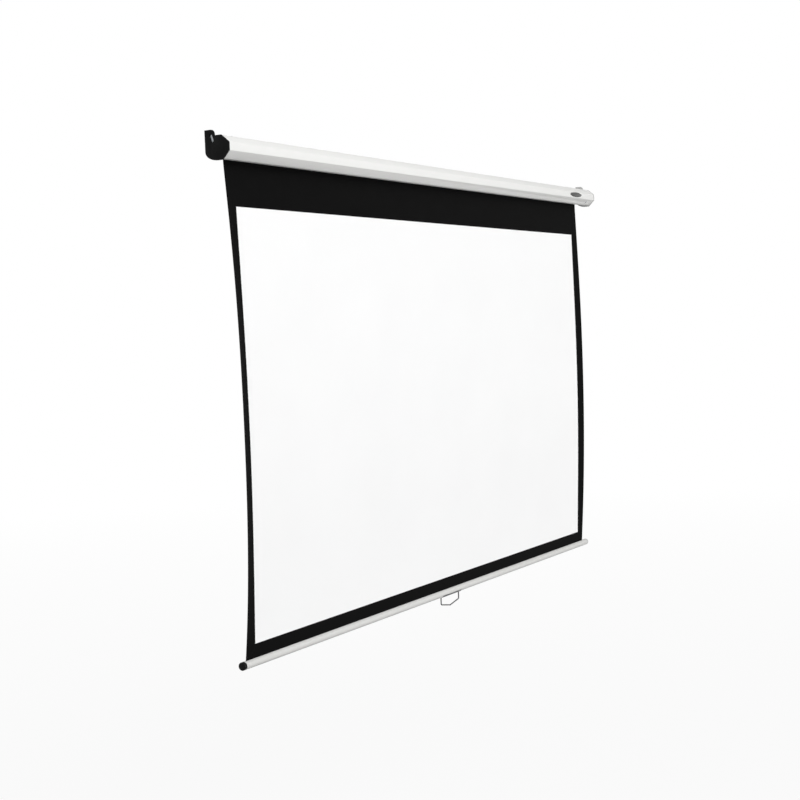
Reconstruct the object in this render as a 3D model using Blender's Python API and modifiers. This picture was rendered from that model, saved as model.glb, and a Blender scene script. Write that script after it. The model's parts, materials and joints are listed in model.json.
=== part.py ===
"""Pull-down projector screen with a spring roller, for a wall or a ceiling.

Built at real size in metres. +X runs along the case, the wall is the plane Y = 0, the viewer stands at -Y
and +Z is up. The origin is on the back of the case, halfway along it and halfway up it.
The screen is drawn all the way down, with its pawl locked.
Positions across the case are given as a depth d in front of the wall (world Y = -d) and a height z.
"""

import math

import bmesh
import bpy
from mathutils import Matrix, Vector

# Fits
GAP = 0.0003                 # between touching pieces
MERGE = 0.00005              # distance within which doubled points are merged

# Viewing surface, 16:9 with a 100 inch diagonal
IMAGE_WIDTH = 2.214
IMAGE_HEIGHT = 1.245
SIDE_BORDER = 0.045
BOTTOM_BORDER = 0.0408
TOP_DROP = 0.120             # black fabric between the case and the picture area
FABRIC_THICKNESS = 0.0005
FABRIC_DEPTH = 0.028         # sheet to wall
BOW = 0.0130                 # how far the middle of the sheet stands forward
BOW_SKEW = 1.1               # over 1 puts the deepest place below the middle
CURL_WIDTH = 0.075           # strip along each side edge that curls forward
LEFT_CURL = 0.019
RIGHT_CURL = 0.009

# Room beside the sheet, from its edges to the ends of the case
IDLE_END_ROOM = 0.042
RATCHET_END_ROOM = 0.078     # the ratchet needs more room, so the sheet sits off centre

# Case section
CASE_DEPTH = 0.083
CASE_HEIGHT = 0.068
TOP_FACET_RUN = 0.026
TOP_FACET_DROP = 0.021
LOW_FACET_RUN = 0.024
FOLD_Z = -0.010              # bend between the upright front and the lower facet
BACK_ROUND_DEPTH = 0.042
BACK_ROUND_HEIGHT = 0.025
BEND_RADIUS = 0.0025
LEAST_BEND = 0.0003
SHELL_WALL = 0.0012
SHELL_INSET = 0.0005
SHELL_RAISED = 0.0040        # the caps reach this much lower than the shell
SLOT_BACK = 0.018
SLOT_FRONT = 0.040
HEM = 0.005

# End caps
CAP_PLATE = 0.0055
CAP_RIM = 0.0024
CAP_RIM_STEP = 0.0012
SKIRT_DEPTH = 0.070
SKIRT_WALL = 0.0025
SLOT_MARGIN = 0.004          # skirt to the lips of the shell's slot
EAR_HEIGHT = 0.0160
EAR_CORNER = 0.012
EAR_FOOT = 0.034
EAR_LEAN = 0.002
EAR_SLOT_TOP = (0.0205, 0.0335)
EAR_SLOT_BOTTOM = (0.0255, 0.0205)
EAR_SLOT_RADIUS = 0.0052
HANGER_THICKNESS = 0.0010
HANGER_MARGIN = 0.0030
CAP_SCREW_INSET = 0.060
CAP_SCREW_RADIUS = 0.0018
CAP_SCREW_HEAD = 0.0040
CAP_SCREW_TOP_DEPTH = 0.046

# Name plate, left bare
BADGE_LENGTH = 0.105
BADGE_HEIGHT = 0.0185
BADGE_THICKNESS = 0.0014
BADGE_INSET = 0.181          # middle of the plate to the right end of the case
BADGE_Z = 0.0025

# Roller
TUBE_RADIUS = 0.019
TUBE_WALL = 0.0015
IDLER_ROOM = 0.0212          # idle end of the tube to its bracket
RATCHET_ROOM = 0.0152        # ratchet end of the tube to its bracket
TURNS_LEFT = 2               # turns of fabric that stay on the tube
ROLLER_Z = 0.001
PLUG_DEPTH = 0.024
FLANGE = 0.0032
PIN_RADIUS = 0.003
ROD_RADIUS = 0.004
ROD_CHAMFER = 0.0005         # broken edge at the end of the rod and of the pin
TANG_THICKNESS = 0.003
TANG_HEIGHT = 0.008

# Brackets inside the caps
BRACKET_PLATE = 0.002
BRACKET_WIDTH = 0.034
BRACKET_DROP = 0.018
BRACKET_RISE = 0.010
CRADLE_DEPTH = 0.008
CRADLE_WIDTH = 0.014
CRADLE_DROP = 0.009
CRADLE_RISE = 0.008
BRACKET_SCREW_SPREAD = 0.0115
BRACKET_SCREW_DROP = 0.0125
BRACKET_SCREW_RADIUS = 0.0016
BRACKET_SCREW_HEAD = 0.0032

# Ratchet
HOUSING_RIM = 0.0010
WHEEL_RADIUS = 0.009
NOTCH_RADIUS = 0.006
NOTCHES = 2
NOTCH_RAMP = math.radians(75)
LOCK_ANGLE = math.radians(112.5)
PAWL_THICKNESS = 0.004
PAWL_LENGTH = 0.011
PAWL_BOSS = 0.0032
PAWL_PIVOT_RADIUS = 0.01443
PAWL_PIVOT_ANGLE = math.radians(60)
PAWL_REST_ANGLE = math.radians(195.5)
PAWL_THROW = math.radians(35)
PAWL_NOSE_OVER = 0.0004      # blunt nose of a pawl, above and below its middle line
PAWL_NOSE_UNDER = 0.0012
PAWL_PIN_RADIUS = 0.0015
PAWL_PIN_HEAD = 0.0030
PAWL_PIN_HEAD_HEIGHT = 0.0012

# Motor spring
SPRING_LENGTH = 0.240
SPRING_TURNS = 30
SPRING_RADIUS = 0.0100
SPRING_WIRE = 0.0011
SPRING_PLUG_LENGTH = 0.020
COLLAR_LENGTH = 0.009
COLLAR_RADIUS = 0.0125
ROD_IN_PLUG = 0.014

# Weight bar
BAR_RADIUS = 0.0122
BAR_WALL = 0.0015
BAR_LEFT_INSET = 0.022       # ends of the bar to the ends of the case
BAR_RIGHT_INSET = 0.040
BAR_CAP = 0.011
BAR_CAP_EDGE = 0.0008
BAR_PLUG_DEPTH = 0.012
BAR_SLOT = 0.003
KEDER_RADIUS = 0.0031

# Pull handle: its top wire turns in a slot under the weight bar, which the saddle closes from below
SADDLE_WALL = 0.0010
SADDLE_HALF_ANGLE = math.radians(66)
SADDLE_LENGTH = 0.1296
HANDLE_SCREW_X = 0.012
HANDLE_SCREW_ANGLE = math.radians(45)    # from the underside of the bar towards the wall
HANDLE_SCREW_RADIUS = 0.0014
HANDLE_SCREW_HEAD = 0.0030
HANDLE_SCREW_HEAD_HEIGHT = 0.0009
HANDLE_SCREW_POINT = 0.002   # how far it stands out inside the bar
WINDOW_HALF_WIDTH = 0.0068   # room for the legs of the handle to swing
BAIL_WIRE = 0.00225
BAIL_HALF_WIDTH = 0.0625
BAIL_LEG = 0.0284
BAIL_POINT = 0.012
BAIL_BEND = 0.006

# Fineness of round shapes
BEND_STEPS = 3
CAP_BEND_STEPS = 5
ROUND_STEPS = 32
BAR_STEPS = 64
SADDLE_STEPS = 22
FINE_STEPS = 20
SMOOTH_ANGLE = math.radians(35)

# Places worked out from the sizes above
FABRIC_WIDTH = IMAGE_WIDTH + 2 * SIDE_BORDER
CASE_LENGTH = IDLE_END_ROOM + FABRIC_WIDTH + RATCHET_END_ROOM
HALF_LENGTH = CASE_LENGTH / 2
FABRIC_LEFT = IDLE_END_ROOM - HALF_LENGTH
FABRIC_RIGHT = HALF_LENGTH - RATCHET_END_ROOM
FABRIC_MIDDLE = (FABRIC_LEFT + FABRIC_RIGHT) / 2
BADGE_X = HALF_LENGTH - BADGE_INSET
BAR_LEFT = BAR_LEFT_INSET - HALF_LENGTH
BAR_RIGHT = HALF_LENGTH - BAR_RIGHT_INSET
HALF_HEIGHT = CASE_HEIGHT / 2
SHELL_BOTTOM = SHELL_RAISED - HALF_HEIGHT
CAP_FACE = HALF_LENGTH - CAP_PLATE          # inner face of each cap's plate
ROLL_INNER = TUBE_RADIUS + GAP
ROLL_OUTER = ROLL_INNER + TURNS_LEFT * FABRIC_THICKNESS
ROLLER_DEPTH = FABRIC_DEPTH + FABRIC_THICKNESS / 2 + GAP + ROLL_OUTER
IMAGE_TOP = -HALF_HEIGHT - TOP_DROP
IMAGE_BOTTOM = IMAGE_TOP - IMAGE_HEIGHT
BAR_TOP = IMAGE_BOTTOM - BOTTOM_BORDER
BAR_Z = BAR_TOP - BAR_RADIUS
BRACKET_FACE = CAP_FACE - GAP               # side of a bracket that lies on its cap
CRADLE_BACK = BRACKET_FACE - BRACKET_PLATE
CRADLE_FRONT = CRADLE_BACK - CRADLE_DEPTH
TUBE_LEFT = IDLER_ROOM - CRADLE_FRONT
TUBE_RIGHT = CRADLE_FRONT - RATCHET_ROOM
PLUG_RADIUS = TUBE_RADIUS - TUBE_WALL - GAP
HOUSING_LEFT = TUBE_RIGHT + GAP
HOUSING_RIGHT = HOUSING_LEFT + FLANGE
WHEEL_LEFT = HOUSING_RIGHT + 3 * GAP
WHEEL_RIGHT = WHEEL_LEFT + PAWL_THICKNESS
COLLAR_RIGHT = HOUSING_LEFT - PLUG_DEPTH - GAP
COLLAR_LEFT = COLLAR_RIGHT - COLLAR_LENGTH
SPRING_RIGHT = COLLAR_LEFT - GAP
SPRING_LEFT = SPRING_RIGHT - SPRING_LENGTH
SPRING_PLUG_RIGHT = SPRING_LEFT - GAP
SPRING_PLUG_LEFT = SPRING_PLUG_RIGHT - SPRING_PLUG_LENGTH
SADDLE_INNER = BAR_RADIUS + GAP
SADDLE_OUTER = SADDLE_INNER + SADDLE_WALL
HANDLE_Z = BAR_Z - SADDLE_INNER + GAP + BAIL_WIRE
WINDOW_START = BAIL_HALF_WIDTH - BAIL_BEND - GAP
WINDOW_END = BAIL_HALF_WIDTH + BAIL_WIRE + GAP

# Local x towards the viewer, local y up, local z along -X
ACROSS_CASE = Matrix(((0, 0, -1), (-1, 0, 0), (0, 1, 0))).to_4x4()

MATERIALS = {}
PARTS = None
GUIDES = None
AXES = {}


def clear_scene():
    for obj in list(bpy.data.objects):
        bpy.data.objects.remove(obj, do_unlink=True)


def make_collection(name):
    collection = bpy.data.collections.new(name)
    bpy.context.scene.collection.children.link(collection)
    return collection


def material(name, colour, roughness, metallic=0.0):
    if name not in MATERIALS:
        made = bpy.data.materials.new(name)
        made.use_nodes = True
        shader = made.node_tree.nodes["Principled BSDF"]
        shader.inputs["Base Color"].default_value = (*colour, 1.0)
        shader.inputs["Roughness"].default_value = roughness
        shader.inputs["Metallic"].default_value = metallic
        made.diffuse_color = (*colour, 1.0)
        MATERIALS[name] = made
    return MATERIALS[name]


def white_paint():
    return material("white_painted_steel", (0.80, 0.80, 0.79), 0.38)


def black_plastic():
    return material("black_abs", (0.012, 0.012, 0.012), 0.48)


def pale_plastic():
    return material("pale_abs", (0.62, 0.62, 0.61), 0.45)


def zinc_steel():
    return material("zinc_plated_steel", (0.55, 0.56, 0.57), 0.35, 1.0)


def bright_aluminium():
    return material("mill_aluminium", (0.72, 0.73, 0.74), 0.4, 1.0)


def spring_steel():
    return material("spring_steel", (0.28, 0.28, 0.29), 0.4, 1.0)


def white_nylon():
    return material("white_nylon", (0.74, 0.73, 0.69), 0.5)


def white_vinyl():
    return material("matte_white_vinyl", (0.86, 0.86, 0.86), 0.75)


def black_vinyl():
    return material("black_masking_vinyl", (0.006, 0.006, 0.006), 0.7)


def dark_badge():
    return material("dark_badge_plastic", (0.02, 0.02, 0.018), 0.3)


def grey_steel():
    return material("grey_handle_steel", (0.22, 0.22, 0.22), 0.4, 1.0)


def make_axis(name, place, parent=None):
    """An empty on the axis of a moving body."""
    empty = bpy.data.objects.new(name, None)
    empty.empty_display_size = 0.03
    PARTS.objects.link(empty)
    AXES[name] = (empty, Vector(place))
    settle(empty, place, parent)
    return empty


def settle(obj, place, parent=None):
    """Puts an object at a world place, under the empty of its body where it has one."""
    obj.location = Vector(place)
    if parent:
        holder, holder_place = AXES[parent]
        obj.parent = holder
        obj.location = Vector(place) - holder_place


def smooth(mesh):
    mesh.shade_smooth()
    mesh.set_sharp_from_angle(angle=SMOOTH_ANGLE)


def finish(obj, paint, parent=None):
    """Gives a part its material and its body."""
    obj.data.materials.clear()
    obj.data.materials.append(paint)
    smooth(obj.data)
    settle(obj, obj.location, parent)
    return obj


def as_guide(obj):
    for collection in list(obj.users_collection):
        collection.objects.unlink(obj)
    GUIDES.objects.link(obj)
    obj.hide_render = True
    obj.display_type = "WIRE"
    return obj


def mesh_from_curve(curve_object, name):
    """A curve object made a mesh, with its loose caps welded on."""
    bpy.context.view_layer.update()
    depsgraph = bpy.context.evaluated_depsgraph_get()
    mesh = bpy.data.meshes.new_from_object(curve_object.evaluated_get(depsgraph))
    mesh.name = name
    bm = bmesh.new()
    bm.from_mesh(mesh)
    bmesh.ops.remove_doubles(bm, verts=bm.verts, dist=MERGE)
    bmesh.ops.recalc_face_normals(bm, faces=bm.faces)
    bm.to_mesh(mesh)
    bm.free()
    made = bpy.data.objects.new(name, mesh)
    made.matrix_world = curve_object.matrix_world.copy()
    PARTS.objects.link(made)
    data = curve_object.data
    bpy.data.objects.remove(curve_object, do_unlink=True)
    bpy.data.curves.remove(data)
    made.name = name
    return made


def prism(name, outlines, x_low, x_high, centre=(0.0, 0.0)):
    """A plate of constant section between two places along the case; later outlines are its holes."""
    data = bpy.data.curves.new(name, "CURVE")
    data.dimensions = "2D"
    data.fill_mode = "BOTH"
    data.extrude = (x_high - x_low) / 2
    for outline in outlines:
        spline = data.splines.new("POLY")
        spline.points.add(len(outline) - 1)
        for point, (d, z) in zip(spline.points, outline):
            point.co = (d - centre[0], z - centre[1], 0.0, 1.0)
        spline.use_cyclic_u = True
    obj = bpy.data.objects.new(name, data)
    PARTS.objects.link(obj)
    place = Vector(((x_low + x_high) / 2, -centre[0], centre[1]))
    obj.matrix_world = Matrix.Translation(place) @ ACROSS_CASE
    return mesh_from_curve(obj, name)


def turned(name, profile, place, direction, hollow=False, steps=ROUND_STEPS):
    """A lathe shape: profile of (radius, height along the direction), top to bottom down its outer side."""
    mesh = bpy.data.meshes.new(name)
    edges = [(i, i + 1) for i in range(len(profile) - 1)]
    if hollow:
        edges.append((len(profile) - 1, 0))
    mesh.from_pydata([(r, 0.0, h) for r, h in profile], edges, [])
    obj = bpy.data.objects.new(name, mesh)
    PARTS.objects.link(obj)
    screw = obj.modifiers.new("turn", "SCREW")
    screw.axis = "Z"
    screw.steps = steps
    screw.render_steps = steps
    screw.use_merge_vertices = True
    screw.merge_threshold = MERGE
    screw.use_smooth_shade = True
    obj.location = Vector(place)
    obj.rotation_mode = "QUATERNION"
    obj.rotation_quaternion = Vector(direction).to_track_quat("Z", "Y")
    return obj


def cylinder_guide(name, radius, length, place, direction):
    """A round cutter, centred on a place."""
    return as_guide(turned(name, [(0, length / 2), (radius, length / 2), (radius, -length / 2),
                                  (0, -length / 2)], place, direction, steps=FINE_STEPS))


def combine(obj, other, operation):
    boolean = obj.modifiers.new(operation.lower(), "BOOLEAN")
    boolean.operation = operation
    boolean.solver = "EXACT"
    boolean.object = other


def arc(centre, radius, start, end, steps, radius_z=None):
    """Points on a circle, or on an ellipse whose height radius is given."""
    radius_z = radius if radius_z is None else radius_z
    return [(centre[0] + radius * math.cos(start + (end - start) * i / steps),
             centre[1] + radius_z * math.sin(start + (end - start) * i / steps)) for i in range(steps + 1)]


def rounded(corners, radius, steps=BEND_STEPS, closed=True):
    """An outline whose corners are bent to a radius; a third value on a corner sets its own radius."""
    points = []
    count = len(corners)
    for i, corner in enumerate(corners):
        here = Vector(corner[:2])
        bend = corner[2] if len(corner) > 2 else radius
        if bend <= 0 or (not closed and i in (0, count - 1)):
            points.append((here.x, here.y))
            continue
        before = (Vector(corners[i - 1][:2]) - here).normalized()
        after = (Vector(corners[(i + 1) % count][:2]) - here).normalized()
        half = before.angle(after) / 2
        reach = bend / math.tan(half)
        middle = here + (before + after).normalized() * bend / math.sin(half)
        first = here + before * reach - middle
        last = here + after * reach - middle
        turn = first.angle_signed(last)
        for step in range(steps + 1):
            spoke = first.copy()
            spoke.rotate(Matrix.Rotation(-turn * step / steps, 2))
            points.append((middle.x + spoke.x, middle.y + spoke.y))
    return points


def shrunk(outline, distance):
    """A closed outline moved inwards by a distance."""
    area = sum(a[0] * b[1] - b[0] * a[1] for a, b in zip(outline, outline[1:] + outline[:1]))
    side = 1.0 if area > 0 else -1.0
    moved = []
    count = len(outline)
    for i in range(count):
        here = Vector(outline[i])
        along_in = (here - Vector(outline[i - 1])).normalized()
        along_out = (Vector(outline[(i + 1) % count]) - here).normalized()
        normal_in = Vector((-along_in.y, along_in.x)) * side
        normal_out = Vector((-along_out.y, along_out.x)) * side
        mitre = (normal_in + normal_out).normalized()
        reach = distance / max(mitre.dot(normal_in), 0.3)
        moved.append((here.x + mitre.x * reach, here.y + mitre.y * reach))
    return moved


def back_round(bottom):
    """The rounded lower back corner of a section, from the wall to its bottom."""
    centre = (BACK_ROUND_DEPTH, BACK_ROUND_HEIGHT + bottom)
    return arc(centre, BACK_ROUND_DEPTH, math.pi, 1.5 * math.pi, 10, BACK_ROUND_HEIGHT)


def front_corners(bottom):
    """The bends of the case's front, from the bottom up to the top facet."""
    return [
        (CASE_DEPTH - LOW_FACET_RUN, bottom),
        (CASE_DEPTH, FOLD_Z),
        (CASE_DEPTH, HALF_HEIGHT - TOP_FACET_DROP),
        (CASE_DEPTH - TOP_FACET_RUN, HALF_HEIGHT),
    ]


def shell_outline(inwards=0.0):
    """The section of the shell, a little smaller than the caps and with its back on the wall.

    Flat back and top, faceted front, rounded lower back; inwards gives the same shape further inside.
    """
    fronts = front_corners(SHELL_BOTTOM)
    sharp = fronts + [(0.0, HALF_HEIGHT)] + back_round(SHELL_BOTTOM)
    inset = SHELL_INSET + inwards
    moved = [(d - SHELL_INSET, z) for d, z in shrunk(sharp, inset)]
    bends = len(fronts) + 1
    radius = max(BEND_RADIUS - inset, LEAST_BEND)
    return rounded(moved[:bends] + [(d, z, 0.0) for d, z in moved[bends:]], radius)


def cap_outline():
    """The case outline with the ear that stands over its top at the back."""
    sharp_round = [(d, z, 0.0) for d, z in back_round(-HALF_HEIGHT)]
    ear = [
        (EAR_FOOT, HALF_HEIGHT, 0.0015),
        (EAR_FOOT - EAR_LEAN, HALF_HEIGHT + EAR_HEIGHT, EAR_CORNER),
        (0.0, HALF_HEIGHT + EAR_HEIGHT, 0.001),
    ]
    return rounded(front_corners(-HALF_HEIGHT) + ear + sharp_round, BEND_RADIUS, steps=CAP_BEND_STEPS)


def ear_slot(radius=EAR_SLOT_RADIUS):
    """The long hanging slot in the ear, round at both ends and leaning forward as it goes down."""
    top = Vector(EAR_SLOT_TOP)
    bottom = Vector(EAR_SLOT_BOTTOM)
    lean = math.atan2(top.y - bottom.y, top.x - bottom.x)
    upper = arc(top, radius, lean - math.pi / 2, lean + math.pi / 2, 6)
    lower = arc(bottom, radius, lean + math.pi / 2, lean + 1.5 * math.pi, 6)
    return upper + lower


def slot_lip(outline, depth):
    """The point of the bottom of an outline at a depth from the wall."""
    low = [p for p in outline if p[1] < 0]
    behind = max((p for p in low if p[0] <= depth), key=lambda p: p[0])
    ahead = min((p for p in low if p[0] > depth), key=lambda p: p[0])
    share = (depth - behind[0]) / (ahead[0] - behind[0])
    return (depth, behind[1] + share * (ahead[1] - behind[1]))


def open_section(inwards, margin):
    """The shell's section from the front lip of the slot, round the case, to its back lip."""
    outline = shell_outline(inwards)
    back, front = SLOT_BACK - margin, SLOT_FRONT + margin
    flat_start = max(front, BACK_ROUND_DEPTH)
    kept = [p for p in outline if p[1] > 0 or not back <= p[0] <= flat_start]
    return [slot_lip(outline, front)] + kept + [slot_lip(outline, back)]


def shell_path():
    """The bent sheet with its two hems, which stand up into the case along the slot."""
    path = open_section(0.0, 0.0)
    first, last = path[0], path[-1]
    return [(first[0], first[1] + HEM)] + path + [(last[0], last[1] + HEM)]


def skirt_section():
    """The thick strip just inside the shell, open along the slot."""
    outside = open_section(SHELL_WALL + GAP, SLOT_MARGIN)
    inside = open_section(SHELL_WALL + GAP + SKIRT_WALL, SLOT_MARGIN)
    return outside + inside[::-1]


def make_case_shell():
    """The painted steel housing: one bent sheet, open along the bottom for the fabric."""
    mesh = bpy.data.meshes.new("case_shell")
    bm = bmesh.new()
    shell_end = CAP_FACE - GAP
    points = [bm.verts.new((-shell_end, -d, z)) for d, z in shell_path()]
    edges = [bm.edges.new(pair) for pair in zip(points, points[1:])]
    grown = bmesh.ops.extrude_edge_only(bm, edges=edges)
    moved = [item for item in grown["geom"] if isinstance(item, bmesh.types.BMVert)]
    bmesh.ops.translate(bm, verts=moved, vec=(2 * shell_end, 0, 0))
    bmesh.ops.recalc_face_normals(bm, faces=bm.faces)
    bm.to_mesh(mesh)
    bm.free()
    shell = bpy.data.objects.new("case_shell", mesh)
    PARTS.objects.link(shell)
    solidify = shell.modifiers.new("wall", "SOLIDIFY")
    solidify.thickness = SHELL_WALL
    solidify.offset = -1.0
    solidify.use_even_offset = True
    return finish(shell, white_paint())


def cap_screw_spots(side):
    """Where the cap screws go in, with their outward normals; only the right end has one in its low facet."""
    top = ("top", Vector((CAP_SCREW_TOP_DEPTH, HALF_HEIGHT - SHELL_INSET)), Vector((0, 1)))
    if side == "left":
        return [top]
    low_front = Vector((CASE_DEPTH - LOW_FACET_RUN / 2, (FOLD_Z + SHELL_BOTTOM) / 2))
    facet = Vector((FOLD_Z - SHELL_BOTTOM, -LOW_FACET_RUN)).normalized()
    facet_inset = Vector((SHELL_INSET, 0)) + facet * SHELL_INSET
    return [top, ("front", low_front - facet_inset, facet)]


def make_cap_screws(side, sign, shell, cap):
    """Pan-head screws through the shell into the cap's skirt."""
    x = sign * (HALF_LENGTH - CAP_SCREW_INSET)
    reach = SHELL_WALL + SKIRT_WALL + 0.003
    for spot, (d, z), normal in cap_screw_spots(side):
        name = f"{side}_cap_screw_{spot}"
        direction = Vector((0, -normal.x, normal.y))
        place = Vector((x, -d, z))
        hole = cylinder_guide(f"{name}_hole", CAP_SCREW_RADIUS + GAP, 4 * reach, place, direction)
        combine(shell, hole, "DIFFERENCE")
        combine(cap, hole, "DIFFERENCE")
        head = CAP_SCREW_HEAD
        screw = turned(name, [
            (0, GAP + 0.0022), (0.4 * head, GAP + 0.0021), (0.8 * head, GAP + 0.0016),
            (head, GAP + 0.0008), (head, GAP), (CAP_SCREW_RADIUS, GAP),
            (CAP_SCREW_RADIUS, -reach), (0, -reach - 0.001),
        ], place, direction, steps=FINE_STEPS)
        finish(screw, zinc_steel())


def raise_cap_face(cap, sign):
    """A sloping rim round the cap's outer face and round its slot."""
    bm = bmesh.new()
    bm.from_mesh(cap.data)
    outward = -sign
    face = [f for f in bm.faces if f.normal.z * outward > 0.99]
    bmesh.ops.inset_region(bm, faces=face, thickness=CAP_RIM, depth=CAP_RIM_STEP, use_even_offset=True,
                           use_boundary=True)
    for vert in bm.verts:
        vert.co.z -= outward * CAP_RIM_STEP / 2
    bm.to_mesh(cap.data)
    bm.free()


def make_end_cap(side, sign, paint, shell):
    """A moulded cap: plate with ear and hanging slot, and a skirt that plugs into the shell."""
    low, high = sorted((sign * CAP_FACE, sign * (HALF_LENGTH - CAP_RIM_STEP)))
    cap = prism(f"{side}_end_cap", [cap_outline(), ear_slot()], low, high)
    raise_cap_face(cap, sign)
    cap.location.x += sign * CAP_RIM_STEP / 2
    low, high = sorted((sign * (CAP_FACE - SKIRT_DEPTH), sign * (CAP_FACE + HANGER_THICKNESS)))
    skirt = as_guide(prism(f"{side}_cap_skirt", [skirt_section()], low, high))
    combine(cap, skirt, "UNION")
    pocket = make_hanger_pocket(side, sign)
    combine(cap, pocket, "DIFFERENCE")
    make_cap_screws(side, sign, shell, cap)
    finish(cap, paint)
    return cap


def hanger_outline(margin):
    """The edge of the steel plate behind the ear's slot, which it overlaps all round."""
    return ear_slot(EAR_SLOT_RADIUS + HANGER_MARGIN + margin)


def make_hanger_pocket(side, sign):
    """The recess on the inside of the ear that takes its steel plate."""
    low, high = sorted((sign * (CAP_FACE - HANGER_THICKNESS), sign * (CAP_FACE + HANGER_THICKNESS + GAP)))
    return as_guide(prism(f"{side}_hanger_pocket", [hanger_outline(GAP)], low, high))


def make_hanger_plate(side, sign):
    """Steel plate behind the slot of the ear, on which a wall or ceiling hook bears."""
    low, high = sorted((sign * CAP_FACE, sign * (CAP_FACE + HANGER_THICKNESS)))
    plate = prism(f"{side}_hanger_plate", [hanger_outline(0)], low, high)
    return finish(plate, zinc_steel())


def cradle_outline(half_width, floor):
    """A block open at the top, whose slot has a half width and a floor depth below the roller's axis."""
    top = ROLLER_Z + CRADLE_RISE
    bottom = ROLLER_Z - CRADLE_DROP
    left = ROLLER_DEPTH - CRADLE_WIDTH / 2
    right = ROLLER_DEPTH + CRADLE_WIDTH / 2
    return [
        (left, bottom), (right, bottom), (right, top), (ROLLER_DEPTH + half_width, top),
        (ROLLER_DEPTH + half_width, ROLLER_Z - floor), (ROLLER_DEPTH - half_width, ROLLER_Z - floor),
        (ROLLER_DEPTH - half_width, top), (left, top),
    ]


def make_bracket(side, sign, half_width, floor, cap):
    """Steel bracket inside a cap: a plate and the cradle that holds the end of the roller."""
    low, high = sorted((sign * BRACKET_FACE, sign * CRADLE_BACK))
    half = BRACKET_WIDTH / 2
    corners = [
        (ROLLER_DEPTH - half, ROLLER_Z - BRACKET_DROP), (ROLLER_DEPTH + half, ROLLER_Z - BRACKET_DROP),
        (ROLLER_DEPTH + half, ROLLER_Z + BRACKET_RISE), (ROLLER_DEPTH - half, ROLLER_Z + BRACKET_RISE),
    ]
    bracket = prism(f"{side}_bracket", [rounded(corners, 0.004)], low, high)
    low, high = sorted((sign * (CRADLE_BACK + BRACKET_PLATE / 2), sign * CRADLE_FRONT))
    cradle = as_guide(prism(f"{side}_cradle", [cradle_outline(half_width, floor)], low, high))
    combine(bracket, cradle, "UNION")
    make_bracket_screws(side, sign, bracket, cap)
    return finish(bracket, zinc_steel())


def make_bracket_screws(side, sign, bracket, cap):
    """Two screws that hold a bracket to its cap."""
    direction = Vector((sign, 0, 0))
    depth_in_cap = 0.0032
    for spot, share in (("back", -1), ("fore", 1)):
        name = f"{side}_bracket_screw_{spot}"
        d = ROLLER_DEPTH + share * BRACKET_SCREW_SPREAD
        place = Vector((sign * CRADLE_BACK, -d, ROLLER_Z - BRACKET_SCREW_DROP))
        reach = BRACKET_PLATE + GAP + depth_in_cap
        hole = cylinder_guide(f"{name}_hole", BRACKET_SCREW_RADIUS + GAP, 2 * (reach + GAP), place, direction)
        combine(bracket, hole, "DIFFERENCE")
        combine(cap, hole, "DIFFERENCE")
        head = BRACKET_SCREW_HEAD
        screw = turned(name, [
            (0, reach), (BRACKET_SCREW_RADIUS, reach), (BRACKET_SCREW_RADIUS, -GAP), (head, -GAP),
            (head, -GAP - 0.0010), (0.7 * head, -GAP - 0.0018), (0, -GAP - 0.0020),
        ], place, direction, steps=FINE_STEPS)
        finish(screw, zinc_steel())


def make_badge():
    """A bare oval plate on the front of the case, near its right end."""
    centre = (0.0, 0.0)
    oval = arc(centre, BADGE_LENGTH / 2, 0, 2 * math.pi, 40, BADGE_HEIGHT / 2)[:-1]
    data = bpy.data.curves.new("badge", "CURVE")
    data.dimensions = "2D"
    data.fill_mode = "BOTH"
    data.extrude = BADGE_THICKNESS / 2
    spline = data.splines.new("POLY")
    spline.points.add(len(oval) - 1)
    for point, (u, v) in zip(spline.points, oval):
        point.co = (u, v, 0.0, 1.0)
    spline.use_cyclic_u = True
    obj = bpy.data.objects.new("badge", data)
    PARTS.objects.link(obj)
    front = CASE_DEPTH - 2 * SHELL_INSET + GAP + BADGE_THICKNESS / 2
    obj.matrix_world = Matrix.Translation((BADGE_X, -front, BADGE_Z)) @ Matrix.Rotation(math.pi / 2, 4, "X")
    badge = mesh_from_curve(obj, "badge")
    bevel = badge.modifiers.new("edge", "BEVEL")
    bevel.width = BADGE_THICKNESS / 3
    bevel.segments = 1
    bevel.limit_method = "ANGLE"
    return finish(badge, dark_badge())


def on_roller(x):
    return (x, -ROLLER_DEPTH, ROLLER_Z)


def ring(outer, inner, length):
    """The closed profile of a tube along its axis, from height 0."""
    return [(outer, length), (outer, 0.0), (inner, 0.0), (inner, length)]


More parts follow.
